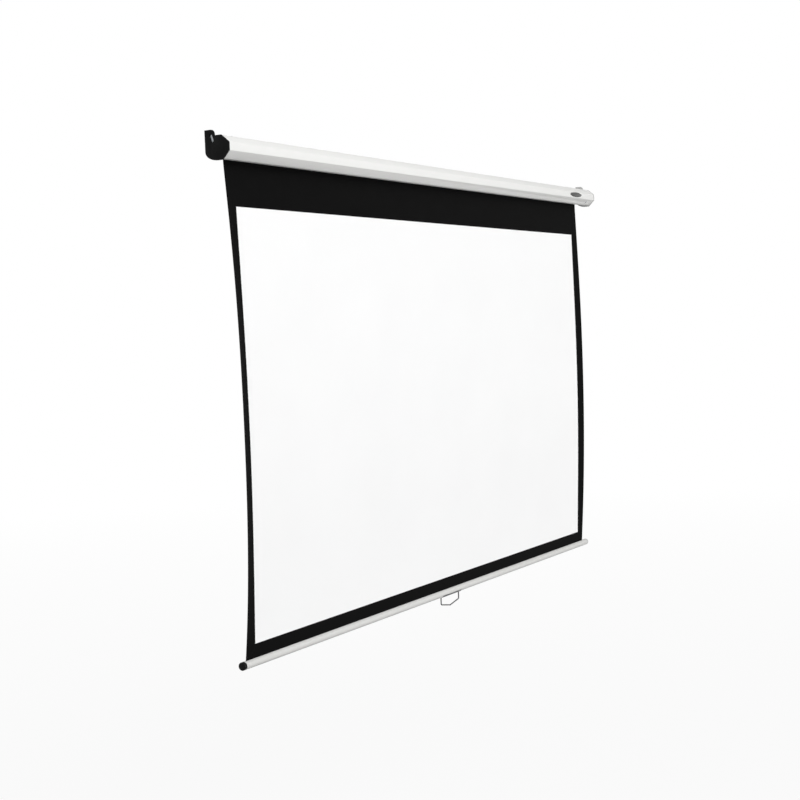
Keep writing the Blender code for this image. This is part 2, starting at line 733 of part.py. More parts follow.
def make_roller():
    """The tube, the last turns of the fabric on it and the plug and pin of its idle end."""
    along = (1, 0, 0)
    tube = turned("roller_tube", ring(TUBE_RADIUS, TUBE_RADIUS - TUBE_WALL, TUBE_RIGHT - TUBE_LEFT),
                  on_roller(TUBE_LEFT), along, hollow=True)
    finish(tube, bright_aluminium(), "roller_axis")
    roll = turned("fabric_roll", ring(ROLL_OUTER, ROLL_INNER, FABRIC_WIDTH), on_roller(FABRIC_LEFT), along,
                  hollow=True)
    finish(roll, black_vinyl(), "roller_axis")
    inside = TUBE_LEFT + PLUG_DEPTH
    outside = TUBE_LEFT - GAP - FLANGE
    bore = PIN_RADIUS + GAP
    plug = turned("idler_plug", [
        (PLUG_RADIUS, inside - outside), (PLUG_RADIUS, FLANGE), (TUBE_RADIUS, FLANGE), (TUBE_RADIUS, 0.0),
        (bore, 0.0), (bore, inside - outside),
    ], on_roller(outside), along, hollow=True)
    finish(plug, white_nylon(), "roller_axis")
    pin_end = -CRADLE_BACK + GAP
    pin = turned("idler_pin", [
        (0, inside - pin_end), (PIN_RADIUS, inside - pin_end), (PIN_RADIUS, ROD_CHAMFER),
        (PIN_RADIUS - ROD_CHAMFER, 0.0), (0, 0.0),
    ], on_roller(pin_end), along, steps=FINE_STEPS)
    finish(pin, zinc_steel(), "roller_axis")


def make_ratchet_housing():
    """The cast plug of the spring end, which carries the pawls."""
    low = HOUSING_LEFT - PLUG_DEPTH
    bore = ROD_RADIUS + GAP
    inside_rim = TUBE_RADIUS - HOUSING_RIM
    rim_end = WHEEL_RIGHT + GAP
    housing = turned("ratchet_housing", [
        (inside_rim, rim_end - low), (TUBE_RADIUS, rim_end - low), (TUBE_RADIUS, HOUSING_LEFT - low),
        (PLUG_RADIUS, HOUSING_LEFT - low), (PLUG_RADIUS, 0.0), (bore, 0.0), (bore, HOUSING_RIGHT - low),
        (inside_rim, HOUSING_RIGHT - low),
    ], on_roller(low), (1, 0, 0), hollow=True)
    for letter, pivot in pawl_pivots():
        place = (HOUSING_RIGHT, -pivot[0], pivot[1])
        hole = cylinder_guide(f"pawl_{letter}_hole", PAWL_PIN_RADIUS + GAP, 2 * (FLANGE + 0.002), place,
                              (1, 0, 0))
        combine(housing, hole, "DIFFERENCE")
    finish(housing, zinc_steel(), "roller_axis")


def ratchet_outline():
    """The wheel's edge: it climbs out of each notch over a ramp and drops at the lock face."""
    points = []
    pitch = 2 * math.pi / NOTCHES
    steps = 24
    for notch in range(NOTCHES):
        lock = LOCK_ANGLE + notch * pitch
        points.append((WHEEL_RADIUS, lock))
        points.append((NOTCH_RADIUS, lock))
        for step in range(1, steps):
            back = pitch * step / steps
            radius = NOTCH_RADIUS + (WHEEL_RADIUS - NOTCH_RADIUS) * min(back / NOTCH_RAMP, 1.0)
            points.append((radius, lock - back))
    points = sort_by_turn(points)
    return [(ROLLER_DEPTH - r * math.cos(a), ROLLER_Z + r * math.sin(a)) for r, a in points]


def sort_by_turn(points):
    """Polar points in the order in which they follow one another round the wheel."""
    start = LOCK_ANGLE
    full = 2 * math.pi

    def key(item):
        radius, angle = item
        turn = (start - angle) % full
        return (round(turn, 6) % round(full, 6), -radius)

    return sorted(points, key=key)


def pawl_pivots():
    """The depth and height of each pawl's pivot."""
    pivots = []
    for letter, turn in (("a", 0.0), ("b", math.pi)):
        angle = PAWL_PIVOT_ANGLE + turn
        pivots.append((letter, (ROLLER_DEPTH - PAWL_PIVOT_RADIUS * math.cos(angle),
                                ROLLER_Z + PAWL_PIVOT_RADIUS * math.sin(angle))))
    return pivots


def pawl_outline(pivot, pointing):
    """A dog that tapers from its boss to a blunt nose, pointing along an angle from the wall side up."""
    local = arc((0, 0), PAWL_BOSS, math.radians(75), math.radians(285), 10)
    local += [(PAWL_LENGTH, -PAWL_NOSE_UNDER), (PAWL_LENGTH, PAWL_NOSE_OVER)]
    cos, sin = math.cos(pointing), math.sin(pointing)
    turned_points = []
    for u, v in local:
        wallwards = u * cos - v * sin
        upwards = u * sin + v * cos
        turned_points.append((pivot[0] - wallwards, pivot[1] + upwards))
    return turned_points


def make_pawls():
    """Two pawls on pins; the upper one is over a notch of the wheel, the lower one hangs on the rim."""
    for (letter, pivot), turn in zip(pawl_pivots(), (0.0, math.pi - PAWL_THROW)):
        axis = f"pawl_{letter}_axis"
        make_axis(axis, (WHEEL_LEFT, -pivot[0], pivot[1]), "roller_axis")
        hole = arc(pivot, PAWL_PIN_RADIUS + GAP, 0, 2 * math.pi, FINE_STEPS)[:-1]
        outline = pawl_outline(pivot, PAWL_REST_ANGLE + turn)
        pawl = prism(f"pawl_{letter}", [outline, hole], WHEEL_LEFT, WHEEL_RIGHT, pivot)
        finish(pawl, zinc_steel(), axis)
        head_height = WHEEL_RIGHT + 2 * GAP - HOUSING_LEFT
        pin_end = head_height + PAWL_PIN_HEAD_HEIGHT
        pin = turned(f"pawl_pin_{letter}", [
            (0, pin_end), (PAWL_PIN_HEAD, pin_end), (PAWL_PIN_HEAD, head_height),
            (PAWL_PIN_RADIUS, head_height), (PAWL_PIN_RADIUS, 0.0), (0, 0.0),
        ], (HOUSING_LEFT, -pivot[0], pivot[1]), (1, 0, 0), steps=FINE_STEPS)
        finish(pin, spring_steel(), "roller_axis")


def make_spring_motor():
    """The fixed rod with its flat tang and ratchet wheel, and the spring that turns the tube."""
    rod_left = SPRING_PLUG_RIGHT - ROD_IN_PLUG
    rod_right = WHEEL_RIGHT + 0.002
    rod = turned("spring_rod", [
        (0, rod_right - rod_left), (ROD_RADIUS, rod_right - rod_left), (ROD_RADIUS, ROD_CHAMFER),
        (ROD_RADIUS - ROD_CHAMFER, 0.0), (0, 0.0),
    ], on_roller(rod_left), (1, 0, 0), steps=FINE_STEPS)
    half_t, half_h = TANG_THICKNESS / 2, TANG_HEIGHT / 2
    corners = [
        (ROLLER_DEPTH - half_t, ROLLER_Z - half_h), (ROLLER_DEPTH + half_t, ROLLER_Z - half_h),
        (ROLLER_DEPTH + half_t, ROLLER_Z + half_h), (ROLLER_DEPTH - half_t, ROLLER_Z + half_h),
    ]
    tang = as_guide(prism("spring_rod_tang", [corners], rod_right - 0.001, CRADLE_BACK - GAP))
    combine(rod, tang, "UNION")
    finish(rod, zinc_steel())
    bore = arc((ROLLER_DEPTH, ROLLER_Z), ROD_RADIUS + GAP, 0, 2 * math.pi, FINE_STEPS)[:-1]
    wheel = prism("ratchet_wheel", [ratchet_outline(), bore], WHEEL_LEFT, WHEEL_RIGHT)
    finish(wheel, zinc_steel())
    collar = turned("spring_collar", ring(COLLAR_RADIUS, ROD_RADIUS + GAP, COLLAR_LENGTH),
                    on_roller(COLLAR_LEFT), (1, 0, 0), hollow=True, steps=FINE_STEPS)
    finish(collar, white_nylon())
    make_spring_plug()
    make_motor_spring()


def make_spring_plug():
    """The plug fixed in the tube, which holds the far end of the spring and guides the rod's end."""
    bore = ROD_RADIUS + GAP
    floor = SPRING_PLUG_LENGTH - ROD_IN_PLUG - GAP
    plug = turned("spring_plug", [
        (0, floor), (bore, floor), (bore, SPRING_PLUG_LENGTH), (PLUG_RADIUS, SPRING_PLUG_LENGTH),
        (PLUG_RADIUS, 0.0), (0, 0.0),
    ], on_roller(SPRING_PLUG_LEFT), (1, 0, 0))
    finish(plug, white_nylon(), "roller_axis")


def make_motor_spring():
    """An open coil of spring wire round the rod."""
    data = bpy.data.curves.new("motor_spring", "CURVE")
    data.dimensions = "3D"
    data.bevel_depth = SPRING_WIRE
    data.bevel_resolution = 1
    data.use_fill_caps = True
    spline = data.splines.new("POLY")
    per_turn = 8
    count = SPRING_TURNS * per_turn + 1
    spline.points.add(count - 1)
    run = SPRING_LENGTH - 2 * SPRING_WIRE
    for i, point in enumerate(spline.points):
        angle = 2 * math.pi * i / per_turn
        x = SPRING_WIRE + run * i / (count - 1)
        point.co = (x, SPRING_RADIUS * math.cos(angle), SPRING_RADIUS * math.sin(angle), 1.0)
    pitch = run / SPRING_TURNS
    print(f"motor_spring least gap between turns: {(pitch - 2 * SPRING_WIRE) * 1000:.2f} mm")
    spring = bpy.data.objects.new("motor_spring", data)
    PARTS.objects.link(spring)
    spring.location = on_roller(SPRING_LEFT)
    spring.data.materials.append(spring_steel())


def stations(low, high, count):
    """Evenly spaced places, both ends included."""
    return [low + (high - low) * i / count for i in range(count + 1)]


def fabric_columns():
    """Places across the sheet, close together where it curls, with a line at each edge of the picture."""
    left_image = FABRIC_LEFT + SIDE_BORDER
    right_image = FABRIC_RIGHT - SIDE_BORDER
    left_flat = FABRIC_LEFT + CURL_WIDTH
    right_flat = FABRIC_RIGHT - CURL_WIDTH
    return (stations(FABRIC_LEFT, left_image, 3) + stations(left_image, left_flat, 2)[1:]
            + stations(left_flat, right_flat, 6)[1:] + stations(right_flat, right_image, 2)[1:]
            + stations(right_image, FABRIC_RIGHT, 3)[1:])


def fabric_rows():
    """Heights down the sheet, with a line at the top and at the bottom of the picture."""
    top = ROLLER_Z + 0.004
    slot = -HALF_HEIGHT
    bottom = BAR_TOP - BAR_WALL - GAP
    return (stations(top, slot, 1) + stations(slot, IMAGE_TOP, 3)[1:]
            + stations(IMAGE_TOP, IMAGE_BOTTOM, 24)[1:] + [BAR_TOP, bottom])


def forward_of_plane(x, z):
    """How far the hanging sheet stands in front of its flat plane."""
    share = (-HALF_HEIGHT - z) / (-HALF_HEIGHT - BAR_TOP)
    if not 0.0 < share < 1.0:
        return 0.0
    down = share ** BOW_SKEW
    bow = BOW * math.sin(math.pi * down) ** 1.3
    rise = 1.0 - abs(2 * down - 1.0) ** 3.5
    left = max(0.0, 1.0 - (x - FABRIC_LEFT) / CURL_WIDTH) ** 2
    right = max(0.0, 1.0 - (FABRIC_RIGHT - x) / CURL_WIDTH) ** 2
    return bow + (LEFT_CURL * left + RIGHT_CURL * right) * rise


def make_fabric():
    """The sheet: a thin surface that bows forward, with side edges that curl; white with black borders."""
    columns = fabric_columns()
    rows = fabric_rows()
    mesh = bpy.data.meshes.new("screen_fabric")
    bm = bmesh.new()
    bmesh.ops.create_grid(bm, x_segments=len(columns) - 1, y_segments=len(rows) - 1, size=1.0)
    for vert in bm.verts:
        column = round((vert.co.x + 1) / 2 * (len(columns) - 1))
        row = round((1 - vert.co.y) / 2 * (len(rows) - 1))
        x, z = columns[column], rows[row]
        vert.co = (x, -FABRIC_DEPTH - forward_of_plane(x, z), z)
    bmesh.ops.recalc_face_normals(bm, faces=bm.faces)
    half = IMAGE_WIDTH / 2
    for face in bm.faces:
        middle = face.calc_center_median()
        inside = abs(middle.x - FABRIC_MIDDLE) < half and IMAGE_BOTTOM < middle.z < IMAGE_TOP
        face.material_index = 0 if inside else 1
    bm.to_mesh(mesh)
    bm.free()
    fabric = bpy.data.objects.new("screen_fabric", mesh)
    PARTS.objects.link(fabric)
    mesh.shade_smooth()
    mesh.materials.append(white_vinyl())
    mesh.materials.append(black_vinyl())
    solidify = fabric.modifiers.new("thickness", "SOLIDIFY")
    solidify.thickness = FABRIC_THICKNESS
    solidify.offset = 0.0
    shift = AXES["bar_axis"][1]
    mesh.transform(Matrix.Translation(-shift))
    settle(fabric, shift, "bar_axis")


def on_bar(x):
    return (x, -FABRIC_DEPTH, BAR_Z)


def bar_section():
    """The round tube's section, slit at the top for the hem of the fabric."""
    slit = math.asin(BAR_SLOT / 2 / BAR_RADIUS)
    centre = (FABRIC_DEPTH, BAR_Z)
    outside = arc(centre, BAR_RADIUS, math.pi / 2 + slit, 2.5 * math.pi - slit, BAR_STEPS)
    inner_radius = BAR_RADIUS - BAR_WALL
    inner_slit = math.asin(BAR_SLOT / 2 / inner_radius)
    inside = arc(centre, inner_radius, 2.5 * math.pi - inner_slit, math.pi / 2 + inner_slit, BAR_STEPS)
    return outside + inside


def make_bar_cap(side, sign, end, paint):
    """The plug that closes one end of the bar, with its edge rounded in two flats."""
    plug_radius = BAR_RADIUS - BAR_WALL - 2 * GAP
    edge = BAR_CAP_EDGE
    cap = turned(f"bar_cap_{side}", [
        (0, BAR_CAP), (BAR_RADIUS - 3 * edge, BAR_CAP), (BAR_RADIUS - edge, BAR_CAP - edge / 2),
        (BAR_RADIUS, BAR_CAP - 2 * edge), (BAR_RADIUS, 0.0), (plug_radius, 0.0),
        (plug_radius, -BAR_PLUG_DEPTH), (0, -BAR_PLUG_DEPTH),
    ], on_bar(end - sign * BAR_CAP), (sign, 0, 0))
    finish(cap, paint, "bar_axis")


def make_weight_bar():
    """The round bar that keeps the sheet straight, its end plugs and the rod in the fabric's hem."""
    tube_left = BAR_LEFT + BAR_CAP + GAP
    tube_right = BAR_RIGHT - BAR_CAP - GAP
    tube = prism("bar_tube", [bar_section()], tube_left, tube_right, (FABRIC_DEPTH, BAR_Z))
    combine(tube, wire_slot(), "DIFFERENCE")
    for side, sign in (("left", -1), ("right", 1)):
        combine(tube, leg_window(side, sign), "DIFFERENCE")
    finish(tube, white_paint(), "bar_axis")
    make_bar_cap("left", -1, BAR_LEFT, black_plastic())
    make_bar_cap("right", 1, BAR_RIGHT, pale_plastic())
    left = max(FABRIC_LEFT, BAR_LEFT + BAR_CAP + BAR_PLUG_DEPTH + GAP)
    right = min(FABRIC_RIGHT, BAR_RIGHT - BAR_CAP - BAR_PLUG_DEPTH - GAP)
    place = (left, -FABRIC_DEPTH, BAR_TOP - BAR_WALL - 2 * GAP - KEDER_RADIUS)
    rod = turned("hem_rod", [(0, right - left), (KEDER_RADIUS, right - left), (KEDER_RADIUS, 0.0), (0, 0.0)],
                 place, (1, 0, 0), steps=12)
    finish(rod, white_nylon(), "bar_axis")


def under_bar(name, half_width, low, high):
    """A square cutter through the underside of the bar and what lies on it."""
    bottom = BAR_Z - SADDLE_OUTER - 0.002
    corners = [
        (FABRIC_DEPTH - half_width, bottom), (FABRIC_DEPTH + half_width, bottom),
        (FABRIC_DEPTH + half_width, BAR_Z), (FABRIC_DEPTH - half_width, BAR_Z),
    ]
    return as_guide(prism(name, [corners], low, high))


def wire_slot():
    """The slot in which the handle's top wire turns."""
    return under_bar("wire_slot", BAIL_WIRE + GAP, -WINDOW_END, WINDOW_END)


def leg_window(side, sign):
    """The wider opening through which a leg of the handle comes out of the bar."""
    low, high = sorted((sign * WINDOW_START, sign * WINDOW_END))
    return under_bar(f"{side}_leg_window", WINDOW_HALF_WIDTH, low, high)


def saddle_section():
    """A strip bent round the underside of the bar."""
    centre = (FABRIC_DEPTH, BAR_Z)
    down = 1.5 * math.pi
    outer = arc(centre, SADDLE_OUTER, down - SADDLE_HALF_ANGLE, down + SADDLE_HALF_ANGLE, SADDLE_STEPS)
    inner = arc(centre, SADDLE_INNER, down + SADDLE_HALF_ANGLE, down - SADDLE_HALF_ANGLE, SADDLE_STEPS)
    return outer + inner


def make_handle_bracket():
    """The strip round the bar's underside, notched at both ends for the handle's legs, and its screws."""
    half = SADDLE_LENGTH / 2
    bracket = prism("handle_bracket", [saddle_section()], -half, half, (FABRIC_DEPTH, BAR_Z))
    for side in ("left", "right"):
        combine(bracket, bpy.data.objects[f"{side}_leg_window"], "DIFFERENCE")
    bar = bpy.data.objects["bar_tube"]
    outwards = Vector((0, math.sin(HANDLE_SCREW_ANGLE), -math.cos(HANDLE_SCREW_ANGLE)))
    reach = SADDLE_WALL + GAP + BAR_WALL + HANDLE_SCREW_POINT
    shank, head, height = HANDLE_SCREW_RADIUS, HANDLE_SCREW_HEAD, HANDLE_SCREW_HEAD_HEIGHT
    for side, sign in (("left", -1), ("right", 1)):
        place = Vector(on_bar(sign * HANDLE_SCREW_X)) + SADDLE_OUTER * outwards
        hole = cylinder_guide(f"handle_screw_{side}_hole", shank + GAP, 2 * reach, place, -outwards)
        combine(bracket, hole, "DIFFERENCE")
        combine(bar, hole, "DIFFERENCE")
        screw = turned(f"handle_screw_{side}", [
            (0, reach), (shank, reach), (shank, -GAP), (head, -GAP), (head, -GAP - height / 2),
            (0.6 * head, -GAP - 0.9 * height), (0, -GAP - height),
        ], place, -outwards, steps=FINE_STEPS)
        finish(screw, zinc_steel(), "bar_axis")
    finish(bracket, grey_steel(), "bar_axis")


def bail_points():
    """The centre line of the pull ring: a straight top, two legs and a shallow point at the bottom."""
    corners = [
        (-BAIL_HALF_WIDTH, 0.0), (BAIL_HALF_WIDTH, 0.0), (BAIL_HALF_WIDTH, -BAIL_LEG),
        (0.0, -BAIL_LEG - BAIL_POINT), (-BAIL_HALF_WIDTH, -BAIL_LEG),
    ]
    return rounded(corners, BAIL_BEND, steps=5)


def make_handle():
    """The pull ring of bent wire, hanging in its slot."""
    data = bpy.data.curves.new("handle", "CURVE")
    data.dimensions = "3D"
    data.bevel_depth = BAIL_WIRE
    data.bevel_resolution = 3
    spline = data.splines.new("POLY")
    points = bail_points()
    spline.points.add(len(points) - 1)
    for point, (x, z) in zip(spline.points, points):
        point.co = (x, 0.0, z, 1.0)
    spline.use_cyclic_u = True
    obj = bpy.data.objects.new("handle", data)
    PARTS.objects.link(obj)
    obj.location = (0, -FABRIC_DEPTH, HANDLE_Z)
    handle = mesh_from_curve(obj, "handle")
    finish(handle, grey_steel(), "handle_axis")


def main():
    global PARTS, GUIDES
    clear_scene()
    PARTS = make_collection("pull_down_projector_screen")
    GUIDES = make_collection("cutters")
    make_axis("roller_axis", on_roller(0.0))
    make_axis("bar_axis", on_bar(0.0))
    make_axis("handle_axis", (0.0, -FABRIC_DEPTH, HANDLE_Z), "bar_axis")
    shell = make_case_shell()
    left_cap = make_end_cap("left", -1, black_plastic(), shell)
    right_cap = make_end_cap("right", 1, pale_plastic(), shell)
    make_hanger_plate("left", -1)
    make_hanger_plate("right", 1)
    make_bracket("left", -1, PIN_RADIUS + GAP, PIN_RADIUS + GAP, left_cap)
    make_bracket("right", 1, TANG_THICKNESS / 2 + GAP, TANG_HEIGHT / 2 + GAP, right_cap)
    make_badge()
    make_roller()
    make_ratchet_housing()
    make_pawls()
    make_spring_motor()
    make_fabric()
    make_weight_bar()
    make_handle_bracket()
    make_handle()


main()
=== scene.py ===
"""The looks of a pull-down projector screen: painted case, moulded caps, hanging sheet, bar and handle.

Metres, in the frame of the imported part: X runs along the case, the wall is Y = 0, the viewer is at -Y.
"""

import json
import math

import bpy
from mathutils import Matrix, Vector


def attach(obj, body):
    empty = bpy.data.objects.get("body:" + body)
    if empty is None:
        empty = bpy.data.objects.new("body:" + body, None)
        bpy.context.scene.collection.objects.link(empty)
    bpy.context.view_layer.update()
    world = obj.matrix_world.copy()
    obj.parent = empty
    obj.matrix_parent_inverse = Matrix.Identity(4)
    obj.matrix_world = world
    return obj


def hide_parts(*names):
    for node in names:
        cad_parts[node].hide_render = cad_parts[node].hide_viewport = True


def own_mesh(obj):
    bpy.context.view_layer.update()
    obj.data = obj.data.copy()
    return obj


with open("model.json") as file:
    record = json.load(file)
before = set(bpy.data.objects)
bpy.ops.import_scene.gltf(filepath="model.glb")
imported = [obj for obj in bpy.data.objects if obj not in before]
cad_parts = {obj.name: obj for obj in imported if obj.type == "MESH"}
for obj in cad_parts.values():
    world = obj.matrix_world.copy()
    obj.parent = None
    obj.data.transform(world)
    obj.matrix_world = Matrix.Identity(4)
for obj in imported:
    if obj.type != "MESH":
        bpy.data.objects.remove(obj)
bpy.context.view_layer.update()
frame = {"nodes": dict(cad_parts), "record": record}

MM = 0.001

# Sheet: flat sizes and the plane in which it hangs
PICTURE_WIDTH = 2.214
PICTURE_HEIGHT = 1.245
SIDE_BORDER = 0.045
SHEET_WIDTH = PICTURE_WIDTH + 2 * SIDE_BORDER
SHEET_MIDDLE = -0.018
SHEET_LEFT = SHEET_MIDDLE - SHEET_WIDTH / 2
SHEET_RIGHT = SHEET_MIDDLE + SHEET_WIDTH / 2
SHEET_PLANE = -0.028
SHEET_THICKNESS = 0.5 * MM
SHEET_TOP = 0.005
CASE_BOTTOM = -0.034
PICTURE_TOP = -0.154
BAR_TOP = -1.4398
SHEET_BOTTOM = -1.4416

# How the sheet leaves its plane: a long bow, and side edges that curl forward; BOW_SKEW, BOW_PEAK and
# CURL_ENDS are powers that set where the bow is deepest, how pointed it is, and how late the curl fades
BOW = 0.0130
BOW_SKEW = 1.1
BOW_PEAK = 1.3
CURL_STRIP = 0.075
CURL_ENDS = 3.5
LEFT_CURL = 0.019
RIGHT_CURL = 0.009

# Cells of the sheet's grid
CURL_COLUMNS = 24
FLAT_COLUMNS = 60
CASE_ROWS = 6
HANGING_ROWS = 150
SLIT_ROWS = 1

# Roller and the turns of sheet on it
ROLLER_AXIS = Vector((0, -0.04885, 0.001))
TURN_INNER = 19.55 * MM
TURN_PITCH = 0.5 * MM
TURNS = 1.9
TURN_SHEET = 0.9 * SHEET_THICKNESS
TURN_COLUMNS = 24
TURN_ROWS = 150

# How solids are refined
WELD = 0.01 * MM
FLAT_ANGLE = math.radians(0.5)
SMOOTH_ANGLE = math.radians(30)
EDGE_SEGMENTS = 2

# Camera, worked out from the photograph
LENS = 62.273
SENSOR = 36.0
SHIFT_ACROSS = 0.0006
SHIFT_UP = 0.06776
CAMERA_PLACE = (-4.2157, -2.4799, -0.4935)
CAMERA_AXES = (
    (0.52818, 0.09817, -0.84344),
    (-0.84844, 0.02093, -0.52888),
    (-0.03427, 0.99495, 0.09435),
)

# Studio floor and light; the floor shows white by a share that grows from its near part to its far part
FLOOR_Z = -2.6
FLOOR_SIZE = 60.0
NEAR_WHITE, FAR_WHITE = 0.93, 1.0
NEAR, FAR = 2.0, 12.0
AMBIENT = 0.36
LAMPS = (
    # name, place, aim, size, watts
    ("key_left", (-5.6, -7.8, 4.8), (0.0, 0.0, -0.7), 5.0, 760.0),
    ("fill_low", (3.5, -6.5, -1.4), (0.0, 0.0, -0.7), 3.0, 190.0),
    ("back", (1.0, 6.0, 3.0), (0.0, 0.0, -0.7), 4.0, 110.0),
)


def srgb(code):
    """Linear RGBA of a hex colour."""
    parts = [int(code[i:i + 2], 16) / 255 for i in (0, 2, 4)]
    linear = [c / 12.92 if c <= 0.04045 else ((c + 0.055) / 1.055) ** 2.4 for c in parts]
    return (*linear, 1.0)


def add(tree, kind, settings=None, inputs=None):
    """Adds a shader node; an input that is a socket is linked, any other value is set."""
    node = tree.nodes.new(kind)
    for name, value in (settings or {}).items():
        setattr(node, name, value)
    for name, value in (inputs or {}).items():
        if isinstance(value, bpy.types.NodeSocket):
            tree.links.new(value, node.inputs[name])
        else:
            node.inputs[name].default_value = value
    return node


def material(name, colour, roughness, metallic=0.0, ior=1.5, specular=0.5):
    """A named material with a Principled shader; returns it with its tree and shader."""
    made = bpy.data.materials.new(name)
    made.use_nodes = True
    tree = made.node_tree
    shader = tree.nodes["Principled BSDF"]
    shader.inputs["Base Color"].default_value = srgb(colour)
    shader.inputs["Roughness"].default_value = roughness
    shader.inputs["Metallic"].default_value = metallic
    if not metallic:
        shader.inputs["IOR"].default_value = ior
    shader.inputs["Specular IOR Level"].default_value = specular
    return made, tree, shader


def coordinates(tree, stretch=(1.0, 1.0, 1.0)):
    """Object coordinates, drawn out along an axis where a stretch is under 1."""
    where = add(tree, "ShaderNodeTexCoord").outputs["Object"]
    return add(tree, "ShaderNodeMapping", None, {"Vector": where, "Scale": stretch}).outputs[0]


def drift(tree, where, size, dark, light):
    """A colour that drifts between two close tones, in clouds of a given size in metres."""
    clouds = add(tree, "ShaderNodeTexNoise", None, {"Vector": where, "Scale": 1 / size}).outputs["Fac"]
    # sockets 6 and 7 are the two colours of a colour mix, and 2 is its result
    ends = {0: clouds, 6: srgb(dark), 7: srgb(light)}
    return add(tree, "ShaderNodeMix", {"data_type": "RGBA"}, ends).outputs[2]


def tones(tree, shader, where, size, dark, light):
    """Lets a surface's colour drift between two close tones."""
    tree.links.new(drift(tree, where, size, dark, light), shader.inputs["Base Color"])


def sheen(tree, shader, where, size, low, high):
    """Lets a surface's roughness drift between two values, in clouds of a given size in metres."""
    clouds = add(tree, "ShaderNodeTexNoise", None, {"Vector": where, "Scale": 1 / size}).outputs["Fac"]
    # most of the noise lies between these two values
    ends = {"Value": clouds, "From Min": 0.35, "From Max": 0.65, "To Min": low, "To Max": high}
    change = add(tree, "ShaderNodeMapRange", None, ends)
    tree.links.new(change.outputs["Result"], shader.inputs["Roughness"])


def grain(tree, shader, where, size, depth, detail=2.0):
    """Raises a grain of a given size and depth, both in metres."""
    noise = add(tree, "ShaderNodeTexNoise", None, {"Vector": where, "Scale": 1 / size, "Detail": detail})
    bump = add(tree, "ShaderNodeBump", None, {"Height": noise.outputs["Fac"], "Distance": depth})
    tree.links.new(bump.outputs["Normal"], shader.inputs["Normal"])


def powder_coat():
    """Powder-coated steel sheet, sprayed and baked: even matt white with a faint orange peel."""
    made, tree, shader = material("powder_coated_steel_white", "E8E8E6", 0.65, specular=0.15)
    where = coordinates(tree)
    tones(tree, shader, where, 0.16, "E6E6E4", "EAEAE8")
    sheen(tree, shader, where, 0.05, 0.6, 0.7)
    # real orange peel is about 1 mm across; drawn at 2.5 mm so that it shows
    grain(tree, shader, where, 2.5 * MM, 0.03 * MM, detail=1.0)
    return made


def tube_paint_with_painted_shade():
    """Wet-painted aluminium tube: the case's white greyed down as painted shade for the bar's shaded
    tone; smooth, with faint streaks along it.
    """
    # D2D2D0 and the tones below are the case's white greyed down: painted shade, not a different paint
    # colour
    made, tree, shader = material("painted_aluminium_tube_with_painted_shade", "D2D2D0", 0.6, specular=0.15)
    where = coordinates(tree, (0.02, 1.0, 1.0))
    tones(tree, shader, where, 3 * MM, "CFCFCD", "D5D5D3")
    sheen(tree, shader, where, 2 * MM, 0.55, 0.65)
    return made


def moulded_abs(name, dark, light, specular):
    """Injection-moulded ABS from a spark-eroded mould: a fine matt grain, with a few shinier patches."""
    made, tree, shader = material(name, light, 0.5, ior=1.53, specular=specular)
    where = coordinates(tree)
    tones(tree, shader, where, 0.02, dark, light)
    sheen(tree, shader, where, 0.012, 0.42, 0.56)
    # eroded grain is about 0.3 mm; drawn at 0.8 mm
    grain(tree, shader, where, 0.8 * MM, 0.04 * MM, detail=1.0)
    return made


def zinc_plate():
    """Zinc-plated steel: pale, slightly blue metal with cloudy tones from the bath and rolling marks."""
    made, tree, shader = material("zinc_plated_steel", "999C9F", 0.32, metallic=1.0)
    tones(tree, shader, coordinates(tree), 6 * MM, "8E9194", "A3A6A9")
    rolled = coordinates(tree, (1.0, 1.0, 0.15))
    sheen(tree, shader, rolled, 2 * MM, 0.25, 0.42)
    grain(tree, shader, rolled, 0.5 * MM, 0.01 * MM)
    return made


def extruded_aluminium():
    """Mill-finish aluminium tube: soft grey metal with drawing lines along its length."""
    made, tree, shader = material("mill_finish_aluminium", "C9CACB", 0.36, metallic=1.0)
    drawn = coordinates(tree, (0.01, 1.0, 1.0))
    tones(tree, shader, drawn, 1.5 * MM, "BCBDBF", "D2D3D4")
    sheen(tree, shader, drawn, 0.9 * MM, 0.3, 0.44)
    grain(tree, shader, drawn, 0.6 * MM, 0.01 * MM)
    return made


def oiled_wire():
    """Oil-tempered spring steel: dark brown-grey wire with a thin film of oil."""
    made, tree, shader = material("oil_tempered_spring_steel", "5A5754", 0.3, metallic=1.0)
    where = coordinates(tree)
    tones(tree, shader, where, 4 * MM, "4C4946", "686460")
    sheen(tree, shader, where, 3 * MM, 0.22, 0.4)
    return made


def natural_nylon():
    """Turned nylon: milky off-white that lets a little light in, with faint tool marks."""
    made, tree, shader = material("natural_nylon", "E6E3D8", 0.45, ior=1.53)
    shader.inputs["Subsurface Weight"].default_value = 0.1
    shader.inputs["Subsurface Radius"].default_value = (0.002, 0.002, 0.0015)
    where = coordinates(tree)
    tones(tree, shader, where, 10 * MM, "DEDBCF", "EAE8DE")
    grain(tree, shader, where, 0.7 * MM, 0.01 * MM)
    return made


def label_enamel():
    """Doming resin over a dark plate: dark grey and glossy, as smooth as glass."""
    made, tree, shader = material("domed_dark_plate", "323231", 0.22, specular=0.25)
    shader.inputs["Coat Weight"].default_value = 0.15
    shader.inputs["Coat Roughness"].default_value = 0.05
    tones(tree, shader, coordinates(tree), 0.02, "2E2E2D", "363635")
    return made


def dark_zinc():
    """Black-passivated zinc on bent steel: dark grey metal, lighter where it is rubbed."""
    made, tree, shader = material("black_passivated_steel", "525253", 0.42, metallic=0.85)
    where = coordinates(tree)
    tones(tree, shader, where, 8 * MM, "464647", "606061")
    sheen(tree, shader, where, 4 * MM, 0.34, 0.5)
    grain(tree, shader, where, 0.5 * MM, 0.01 * MM)
    return made


